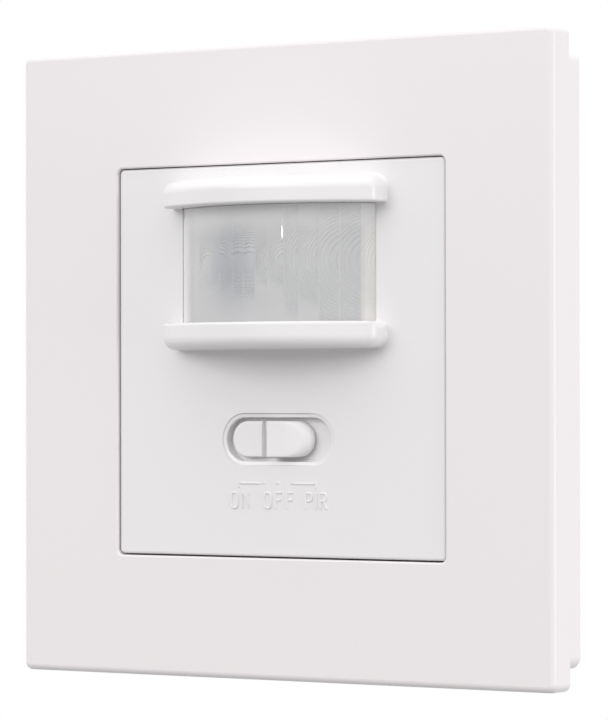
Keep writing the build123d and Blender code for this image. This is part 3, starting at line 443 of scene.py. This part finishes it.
def lens_plastic():
    """Milky film under a clear coat, with a painted grey patch of shade, painted shade low down
    and painted light at its rims and top.
    """
    material, tree, shader = shader_material("lens_film")
    shader.inputs["IOR"].default_value = 1.5
    shader.inputs["Transmission Weight"].default_value = 0.1
    shader.inputs["Roughness"].default_value = 0.35
    shader.inputs["Subsurface Weight"].default_value = 0.35
    shader.inputs["Subsurface Scale"].default_value = 0.0012
    shader.inputs["Subsurface Radius"].default_value = (1.0, 1.0, 1.0)
    shader.inputs["Coat Weight"].default_value = 1.0
    shader.inputs["Coat Roughness"].default_value = 0.015
    place = tree.nodes.new("ShaderNodeTexCoord")
    parts = tree.nodes.new("ShaderNodeSeparateXYZ")
    tree.links.new(place.outputs["Object"], parts.inputs[0])
    ahead = math_step(tree, "SUBTRACT", axis_y, parts.outputs["Y"])
    angle = math_step(tree, "DEGREES", math_step(tree, "ARCTAN2", parts.outputs["X"], ahead))
    outward = tree.nodes.new("ShaderNodeCombineXYZ")
    tree.links.new(parts.outputs["X"], outward.inputs["X"])
    tree.links.new(math_step(tree, "MULTIPLY", ahead, -1.0), outward.inputs["Y"])
    unit = tree.nodes.new("ShaderNodeVectorMath")
    unit.operation = "NORMALIZE"
    tree.links.new(outward.outputs[0], unit.inputs[0])
    tree.links.new(unit.outputs[0], shader.inputs["Coat Normal"])
    height = parts.outputs["Z"]
    across = math_step(tree, "MULTIPLY_ADD", angle, 1 / patch_half_width,
                       -patch_middle / patch_half_width)
    along = math_step(tree, "MULTIPLY_ADD", height, 1 / patch_half_height,
                      -lens_middle / patch_half_height)
    off = math_step(tree, "SQRT", math_step(tree, "ADD", math_step(tree, "POWER", across, 2.0),
                                            math_step(tree, "POWER", along, 2.0)))
    low = math_step(tree, "MULTIPLY", spread(tree, height, 0.0, 1.0, *low_band),
                    spread(tree, angle, 1.0, low_right_share, *low_fade))
    # Layers of painted light and shade over the film's own colour.
    layers = ((low, low_shade_colour),
              (spread(tree, off, 1.0, 0.0, *patch_fade, soft=True), sensor_shade_colour),
              (spread(tree, angle, 1.0, 0.0, *left_band, soft=True), left_rim_light_colour),
              (spread(tree, angle, 0.0, 1.0, *right_band, soft=True), right_rim_highlight_colour),
              (spread(tree, height, 0.0, 1.0, *top_band, soft=True), top_light_colour))
    colour = tint(tree, value_noise(tree, film_noise), film_colour, film_change)
    for share, layer in layers:
        blend = tree.nodes.new("ShaderNodeMix")
        blend.data_type = "RGBA"
        tree.links.new(share, blend.inputs["Factor"])
        tree.links.new(colour, blend.inputs["A"])
        blend.inputs["B"].default_value = layer + (1.0,)
        colour = blend.outputs["Result"]
    tree.links.new(colour, shader.inputs["Base Color"])
    return material


lens_finish = lens_plastic()
print("lens arc radius", round(arc_radius, 5), "fields", len(field_edges) + 1)

# %% [markdown]
# The sheet of fields becomes a closed lens: the fields are welded where they meet, the rim is
# turned inwards by the lens's thickness, and a plain inner skin closes it. Two legs and a lip
# behind the cover hold the real lens, so they are here too, though only the side view of the
# opened switch would show them.

# %% Lens
def box_faces(mesh, low, high):
    """Adds a closed box between two corners."""
    made = bmesh.ops.create_cube(mesh, size=1.0)
    middle = (Vector(low) + Vector(high)) / 2
    size = Vector(high) - Vector(low)
    for vert in made["verts"]:
        vert.co = middle + Vector(c * s for c, s in zip(vert.co, size))


def piece_from(mesh, name, material, body):
    """A finished piece from a bmesh, with its material and its body."""
    data = bpy.data.meshes.new(name)
    mesh.to_mesh(data)
    mesh.free()
    data.materials.clear()
    data.materials.append(material)
    piece = bpy.data.objects.new(name, data)
    bpy.context.scene.collection.objects.link(piece)
    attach(piece, body)
    return piece


def smooth_below(data, degrees):
    """Smooth shading, with edges sharper than this angle kept sharp."""
    data.shade_smooth()
    data.set_sharp_from_angle(angle=math.radians(degrees))


stops = [-edge_angle] + field_edges + [edge_angle]
lens_mesh = bmesh.new()
rows = round(lens_height / column_step) + 1
for left, right, middle, area in zip(stops, stops[1:], ring_middles, ring_areas):
    arc_length = math.radians(right - left) * arc_radius
    field = run_tree(field_tree, {
        "Arc radius": arc_radius, "Left angle": math.radians(left),
        "Right angle": math.radians(right), "Foot": lens_foot, "Height": lens_height,
        "Axis depth": -axis_y, "Ring middle": math.radians(middle),
        "Ring area": area * square_millimetre, "Ring depth": ring_depth,
        "Finest ring": finest_ring, "Edge depth": field_line_depth,
        "Edge width": field_line_width, "Columns": round(arc_length / column_step) + 1,
        "Rows": rows, "Finish": lens_finish})
    lens_mesh.from_mesh(field)
    bpy.data.meshes.remove(field)
bmesh.ops.remove_doubles(lens_mesh, verts=lens_mesh.verts, dist=weld_distance)
print("lens fields:", len(stops) - 1, "vertices:", len(lens_mesh.verts))


def closed_lens(mesh):
    """Turns the rim of the sheet inwards and closes it with a plain inner skin."""
    rim = [e for e in mesh.edges if e.is_boundary]
    turned = bmesh.ops.extrude_edge_only(mesh, edges=rim)["geom"]
    inner = [g for g in turned if isinstance(g, bmesh.types.BMVert)]
    axis = Vector((0.0, axis_y, 0.0))
    for vert in inner:
        flat = Vector((vert.co.x, vert.co.y, 0.0)) - axis
        flat *= (arc_radius - lens_thickness) / flat.length
        vert.co = Vector((flat.x, flat.y + axis_y, vert.co.z))
    tolerance = column_step / 10
    top = [v for v in inner if abs(v.co.z - lens_foot - lens_height) < tolerance]
    foot = [v for v in inner if abs(v.co.z - lens_foot) < tolerance]
    top.sort(key=lambda v: v.co.x)
    foot.sort(key=lambda v: v.co.x)
    side_left = [v for v in inner if abs(v.co.x - foot[0].co.x) < tolerance]
    side_right = [v for v in inner if abs(v.co.x - foot[-1].co.x) < tolerance]
    side_left.sort(key=lambda v: v.co.z)
    side_right.sort(key=lambda v: v.co.z)
    mesh.faces.new(side_left + [top[1], foot[1]])
    for i in range(1, len(top) - 2):
        mesh.faces.new((foot[i], top[i], top[i + 1], foot[i + 1]))
    mesh.faces.new([foot[-2], top[-2]] + side_right[::-1])
    bmesh.ops.recalc_face_normals(mesh, faces=mesh.faces)


closed_lens(lens_mesh)
cover_back_y = lens_box[1].y - lip_thickness
leg_top = axis_y - (arc_radius - lens_thickness) * math.cos(math.radians(edge_angle))
for side in (-1, 1):
    end_x = lens_box[0].x if side < 0 else lens_box[1].x
    end_z = lens_box[0].z if side < 0 else lens_box[1].z
    reach = sorted((side * lens_half_width, side * (lens_half_width - lens_thickness)))
    box_faces(lens_mesh, (reach[0], leg_top, lens_foot),
              (reach[1], lens_box[1].y, lens_foot + lens_height))
    outer = sorted((side * lens_half_width, end_x))
    box_faces(lens_mesh, (outer[0], cover_back_y, lens_box[0].z),
              (outer[1], lens_box[1].y, lens_box[1].z))
    edge_z = sorted((lens_middle + side * lens_height / 2, end_z))
    box_faces(lens_mesh, (-lens_half_width, cover_back_y, edge_z[0]),
              (lens_half_width, lens_box[1].y, edge_z[1]))
lens = piece_from(lens_mesh, "lens_shell", lens_finish, "switch_body")
smooth_below(lens.data, degrees=35.0)
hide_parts("fresnel_lens")
print("lens triangles:", sum(len(p.vertices) - 2 for p in lens.data.polygons))

# %% [markdown]
# The knob. The solid one has the right outline and steps; the photographed one is softer. Here it
# is a height over a plan: columns run along X, rows follow the outline inwards, and a formula
# gives each point its height. The thumb end and the raised block round off at their rims, the
# block's flat ends in a rounded corner, and behind it the nose sinks in a shallow curve before it
# drops to the recess. The foot is a little smaller than the rim, which deepens the shade round it.

# %% Knob
knob_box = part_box("slide_knob")
knob_nose_cut = 0.00037
knob_shrink = 0.0001
knob_lift = 0.00005
knob_grow = 0.00012
knob_left = knob_box[0].x - knob_grow
knob_right = knob_box[1].x - knob_nose_cut
knob_half = (knob_box[1].z - knob_box[0].z) / 2 - knob_shrink
knob_middle = (knob_box[1].z + knob_box[0].z) / 2 + knob_lift
thumb_rise = 0.00095
groove_rise = 0.00025
block_rise = 0.0021
foot_y = knob_box[0].y + block_rise
block_start = 0.00582
groove_width = 0.00145
block_left = knob_box[0].x + block_start
groove_left = block_left - groove_width
flat_right = 0.00155
flat_corner = 0.0012
nose_slope = 0.05
nose_curve = 50.0
thumb_round = 0.0002
block_rounds = (0.0002, 0.0010)
round_grows = (0.0018, 0.0038)
edge_round = 0.0001
foot_inset = 0.00025
stem_half = (0.0015, 0.0012)
stem_middle = (-0.0012, knob_middle - knob_lift)
bend_step = 4
thumb_columns = 12
block_columns = 24
edge_shares = (0.0, 0.07, 0.2, 0.4, 0.7, 1.0)
plan_half_height = 2.25
plan_insets = (0.0, 0.02, 0.05, 0.09, 0.14, 0.2, 0.27, 0.35, 0.45, 0.6, 0.8, 1.05, 1.35, 1.75)
merge_distance = 0.0000005
shortest_edge = 0.0000002


def past_straight(x):
    """How far a place along X lies past the straight part of the outline."""
    straight = (knob_right - knob_left) / 2 - knob_half
    return max(0.0, abs(x - (knob_left + knob_right) / 2) - straight)


def round_off(inset, radius):
    """How far a rounded rim lies below its flat, this far in from the outline."""
    if inset >= radius:
        return 0.0
    return radius - math.sqrt(max(0.0, radius ** 2 - (radius - inset) ** 2))


def knob_rise(x, z, zone):
    """Height over the foot at a place, in one of the knob's three zones."""
    if zone == "groove":
        return groove_rise
    inset = max(0.0, knob_half - math.hypot(past_straight(x), z))
    if zone == "thumb":
        return thumb_rise - round_off(inset, thumb_round) - round_off(groove_left - x, edge_round)
    corner_x = max(0.0, x - flat_right + flat_corner)
    corner_z = max(0.0, abs(z) - knob_half + flat_corner)
    past = max(0.0, math.hypot(corner_x, corner_z) - flat_corner)
    blend = min(1.0, max(0.0, (x - round_grows[0]) / (round_grows[1] - round_grows[0])))
    radius = block_rounds[0] + (block_rounds[1] - block_rounds[0]) * blend
    sink = nose_slope * past + nose_curve * past ** 2 if x > flat_right - flat_corner else 0.0
    return block_rise - sink - round_off(inset, radius) - round_off(x - block_left, edge_round)


def knob_columns():
    """Places along X with their zones, close together where the form bends."""
    bend = [knob_half * (1 - math.cos(math.radians(a))) for a in range(0, 90, bend_step)]
    thumb = [knob_left + b for b in bend]
    block_end = [knob_right - b for b in reversed(bend)]
    span = groove_left - edge_round - thumb[-1]
    thumb += [thumb[-1] + i * span / thumb_columns for i in range(1, thumb_columns + 1)]
    thumb += [groove_left - edge_round * s for s in reversed(edge_shares[:-1])]
    block = [block_left + edge_round * s for s in edge_shares]
    span = block_end[0] - block[-1]
    block += [block[-1] + i * span / block_columns for i in range(1, block_columns)] + block_end
    return ([(x, "thumb") for x in thumb] + [(groove_left, "groove"), (block_left, "groove")]
            + [(x, "block") for x in block])


def knob_column(mesh, x, zone, shares):
    """One column of the knob's skin, from foot to foot over its top."""
    reach = math.sqrt(max(0.0, knob_half ** 2 - past_straight(x) ** 2))
    column = [mesh.verts.new((x, foot_y - knob_rise(x, s * reach, zone), knob_middle + s * reach))
              for s in shares]
    inward = (knob_half - foot_inset) / knob_half
    inner_x = min(max(x, knob_left + foot_inset), knob_right - foot_inset)
    for end in (0, -1):
        rim_z = column[end].co.z
        inner_z = knob_middle + (rim_z - knob_middle) * inward
        lower = [mesh.verts.new((x, foot_y - groove_rise, rim_z)),
                 mesh.verts.new((inner_x, foot_y, inner_z))]
        column = lower[::-1] + column if end == 0 else column + lower
    return column


shares = [1 - inset / plan_half_height for inset in plan_insets]
shares += [0.0] + [-s for s in reversed(shares)]
knob_mesh = bmesh.new()
grid = [knob_column(knob_mesh, x, zone, shares) for x, zone in knob_columns()]
for a, b in zip(grid, grid[1:]):
    for i in range(len(a) - 1):
        knob_mesh.faces.new((a[i], a[i + 1], b[i + 1], b[i]))
    knob_mesh.faces.new((a[0], b[0], b[-1], a[-1]))
bmesh.ops.remove_doubles(knob_mesh, verts=knob_mesh.verts, dist=merge_distance)
bmesh.ops.dissolve_degenerate(knob_mesh, edges=knob_mesh.edges, dist=shortest_edge)
bmesh.ops.recalc_face_normals(knob_mesh, faces=knob_mesh.faces)
box_faces(knob_mesh,
          (stem_middle[0] - stem_half[0], foot_y, stem_middle[1] - stem_half[1]),
          (stem_middle[0] + stem_half[0], knob_box[1].y, stem_middle[1] + stem_half[1]))
knob_finish = plastic("white_knob", (0.83, 0.815, 0.82), gloss=(0.32, 0.38))
knob = piece_from(knob_mesh, "knob_cap", knob_finish, "mode_slider")
smooth_below(knob.data, degrees=40.0)
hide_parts("slide_knob")
print("knob triangles:", sum(len(p.vertices) - 2 for p in knob.data.polygons))

# %% [markdown]
# The words. On the real cover they are raised by the mould, thin and tall, in a plain routed
# hand: each letter is a few strokes of one width. A curve with a round bevel draws such a stroke,
# and half of it stands in the cover. Letters are given as strokes in a box one unit high.

# %% Raised words and their bracket
cover_sink = 0.0003
cover_face_y = face_y + cover_sink
stroke_width = 0.00030
letter_height = 0.00197
letter_foot = -0.01850
letter_widths = {"O": 0.0010, "N": 0.0010, "F": 0.0009, "P": 0.00088, "I": 0.0, "R": 0.00088}
words = {"ON": (-0.00713, -0.00539), "OFF": (-0.00206, -0.00036, 0.00138),
         "PIR": (0.00423, 0.00572, 0.00636)}
strokes = {
    "O": [[(0.0, 0.22), (0.12, 0.05), (0.5, 0.0), (0.88, 0.05), (1.0, 0.22), (1.0, 0.78),
           (0.88, 0.95), (0.5, 1.0), (0.12, 0.95), (0.0, 0.78), (0.0, 0.22)]],
    "N": [[(0.0, 0.0), (0.0, 1.0), (1.0, 0.0), (1.0, 1.0)]],
    "F": [[(0.0, 0.0), (0.0, 1.0), (1.0, 1.0)], [(0.0, 0.54), (0.85, 0.54)]],
    "P": [[(0.0, 0.0), (0.0, 1.0), (0.7, 1.0), (0.96, 0.9), (1.0, 0.75), (0.96, 0.6),
           (0.7, 0.5), (0.0, 0.5)]],
    "I": [[(0.0, 0.0), (0.0, 1.0)]],
    "R": [[(0.0, 0.0), (0.0, 1.0), (0.7, 1.0), (0.96, 0.9), (1.0, 0.75), (0.96, 0.6),
           (0.7, 0.5), (0.0, 0.5)], [(0.6, 0.5), (1.0, 0.0)]],
}
bracket_z = -0.01536
bracket_ends = (-0.01592, -0.0152)
bracket_lines = [[(-0.00581, bracket_z), (-0.00262, bracket_z)],
                 [(0.00242, bracket_z), (0.0055, bracket_z)],
                 [(-0.0060, z) for z in bracket_ends], [(0.00566, z) for z in bracket_ends]]
wedge_places = (-0.0022, -0.0001, 0.0021)
wedge_outline = ((-1.0, -0.6), (1.0, 0.1), (0.6, 1.1))
wedge_peak = 0.2
wedge_reach = 0.00033
word_relief = 0.00013


def stroke_curve(paths, name):
    """Strokes drawn on the cover's face as round bars, half sunk in it."""
    curve = bpy.data.curves.new(name, "CURVE")
    curve.dimensions = "3D"
    curve.bevel_depth = stroke_width / 2
    curve.bevel_resolution = 2
    curve.use_fill_caps = True
    for path in paths:
        spline = curve.splines.new("POLY")
        spline.points.add(len(path) - 1)
        for point, (x, z) in zip(spline.points, path):
            point.co = (x, cover_face_y, z, 1.0)
    carrier = bpy.data.objects.new(name, curve)
    bpy.context.scene.collection.objects.link(carrier)
    graph = bpy.context.evaluated_depsgraph_get()
    data = bpy.data.meshes.new_from_object(carrier.evaluated_get(graph))
    bpy.data.objects.remove(carrier)
    return data


paths = list(bracket_lines)
for word, places in words.items():
    for letter, left in zip(word, places):
        for stroke in strokes[letter]:
            paths.append([(left + x * letter_widths[letter], letter_foot + z * letter_height)
                          for x, z in stroke])
legend = bmesh.new()
marks = stroke_curve(paths, "strokes")
legend.from_mesh(marks)
bpy.data.meshes.remove(marks)
for vert in legend.verts:
    vert.co.y = cover_face_y + (vert.co.y - cover_face_y) * word_relief / (stroke_width / 2)
for x in wedge_places:
    ring = [legend.verts.new((x + dx * wedge_reach, cover_face_y, bracket_z + dz * wedge_reach))
            for dx, dz in wedge_outline]
    peak_x = x + wedge_peak * wedge_reach
    tip = legend.verts.new((peak_x, cover_face_y - word_relief, bracket_z))
    root = legend.verts.new((peak_x, cover_face_y + word_relief, bracket_z))
    for a, b in ((0, 1), (1, 2), (2, 0)):
        legend.faces.new((ring[a], ring[b], tip))
        legend.faces.new((ring[b], ring[a], root))
bmesh.ops.recalc_face_normals(legend, faces=legend.faces)
cover_finish = plastic("white_cover", (0.797, 0.782, 0.79), gloss=(0.28, 0.31))
legend_piece = piece_from(legend, "legend", cover_finish, "switch_body")
smooth_below(legend_piece.data, degrees=50.0)
print("legend triangles:", sum(len(p.vertices) - 2 for p in legend_piece.data.polygons))

# %% [markdown]
# The recess starts with a small crisp step. The solid has it as a shallow ledge; its line in the
# photograph is stronger, so the cover's finish adds relief along the same outline. It fades
# towards the right end, where the photograph shows no line.

# %% Step round the recess
recess_middle = -0.009884
recess_half_length = 0.008475
recess_half_height = 0.003325
step_depth = 0.00012
step_width = 0.00016
step_fades = (0.004, 0.0075)


def recess_step(material):
    """A crisp small step along the recess's outline, as relief over the grain."""
    tree = material.node_tree
    shader = next(n for n in tree.nodes if n.type == "BSDF_PRINCIPLED")
    grain = shader.inputs["Normal"].links[0].from_socket
    place = tree.nodes.new("ShaderNodeTexCoord")
    parts = tree.nodes.new("ShaderNodeSeparateXYZ")
    tree.links.new(place.outputs["Object"], parts.inputs[0])
    along = math_step(tree, "SUBTRACT", math_step(tree, "ABSOLUTE", parts.outputs["X"]),
                      recess_half_length - recess_half_height)
    along = math_step(tree, "MAXIMUM", along, 0.0)
    up = math_step(tree, "SUBTRACT", parts.outputs["Z"], recess_middle)
    out = math_step(tree, "SQRT", math_step(tree, "ADD", math_step(tree, "MULTIPLY", along, along),
                                            math_step(tree, "MULTIPLY", up, up)))
    level = spread(tree, out, 0.0, 1.0, recess_half_height - step_width, recess_half_height)
    kept = spread(tree, parts.outputs["X"], 1.0, 0.0, *step_fades)
    bump(tree, shader, math_step(tree, "MULTIPLY", level, kept), step_depth, before=grain)


recess_step(cover_finish)
print("recess step", step_depth)

# %% [markdown]
# Finishes for every solid piece. Each takes the slot that its record names, so one table of
# finishes dresses them all.

# %% Finishes
finishes = {
    "white_frame": plastic("white_frame", (0.805, 0.769, 0.776), gloss=(0.28, 0.34)),
    "white_cover": cover_finish,
    "white_knob": knob_finish,
    "lens_film": lens_finish,
    "inner_white": plastic("inner_white", (0.76, 0.76, 0.74), gloss=(0.45, 0.6)),
    "steel_sheet": metal("steel_sheet", (0.66, 0.68, 0.70), gloss=(0.25, 0.45), crystals=160.0),
    "steel_screws": metal("steel_screws", (0.70, 0.71, 0.73), gloss=(0.2, 0.32)),
    "housing_grey": plastic("housing_grey", (0.74, 0.74, 0.73), gloss=(0.5, 0.65), grain=1400.0,
                            grain_depth=0.00002),
    "board_green": plastic("board_green", (0.045, 0.22, 0.09), gloss=(0.3, 0.4)),
    "can_metal": metal("can_metal", (0.74, 0.74, 0.73), gloss=(0.18, 0.3)),
    "dark_window": plastic("dark_window", (0.02, 0.02, 0.025), gloss=(0.05, 0.1), grain_depth=0.0),
    "cell_orange": plastic("cell_orange", (0.60, 0.30, 0.12), gloss=(0.1, 0.2)),
    "indicator_red": plastic("indicator_red", (0.62, 0.04, 0.03), gloss=(0.08, 0.14)),
    "chip_black": plastic("chip_black", (0.03, 0.03, 0.032), gloss=(0.45, 0.6)),
    "switch_metal": metal("switch_metal", (0.66, 0.66, 0.65), gloss=(0.28, 0.4)),
    "switch_brown": plastic("switch_brown", (0.13, 0.065, 0.03), gloss=(0.5, 0.6)),
    "lever_black": plastic("lever_black", (0.035, 0.035, 0.035), gloss=(0.4, 0.5)),
    "trimmer_blue": plastic("trimmer_blue", (0.035, 0.12, 0.40), gloss=(0.25, 0.35)),
    "rotor_white": plastic("rotor_white", (0.78, 0.78, 0.76), gloss=(0.4, 0.5)),
    "header_black": plastic("header_black", (0.03, 0.03, 0.03), gloss=(0.4, 0.5)),
    "relay_blue": plastic("relay_blue", (0.05, 0.12, 0.34), gloss=(0.22, 0.3)),
    "capacitor_yellow": plastic("capacitor_yellow", (0.72, 0.48, 0.05), gloss=(0.25, 0.35)),
    "sleeve_black": plastic("sleeve_black", (0.03, 0.03, 0.035), gloss=(0.15, 0.25)),
    "disc_blue": plastic("disc_blue", (0.04, 0.16, 0.45), gloss=(0.2, 0.35)),
    "fuse_tan": plastic("fuse_tan", (0.58, 0.42, 0.24), gloss=(0.25, 0.4)),
    "terminal_white": plastic("terminal_white", (0.74, 0.74, 0.71), gloss=(0.4, 0.5)),
    "brass": metal("brass", (0.78, 0.57, 0.25), gloss=(0.22, 0.34)),
}
for part in frame["record"]["subparts"]:
    nodes[part["node"]].material_slots[0].material = finishes[part["material_slot"]]
print("finishes:", len(finishes))

# %% [markdown]
# The last cell brings the scene up to date.

# %% Update the scene
bpy.context.view_layer.update()
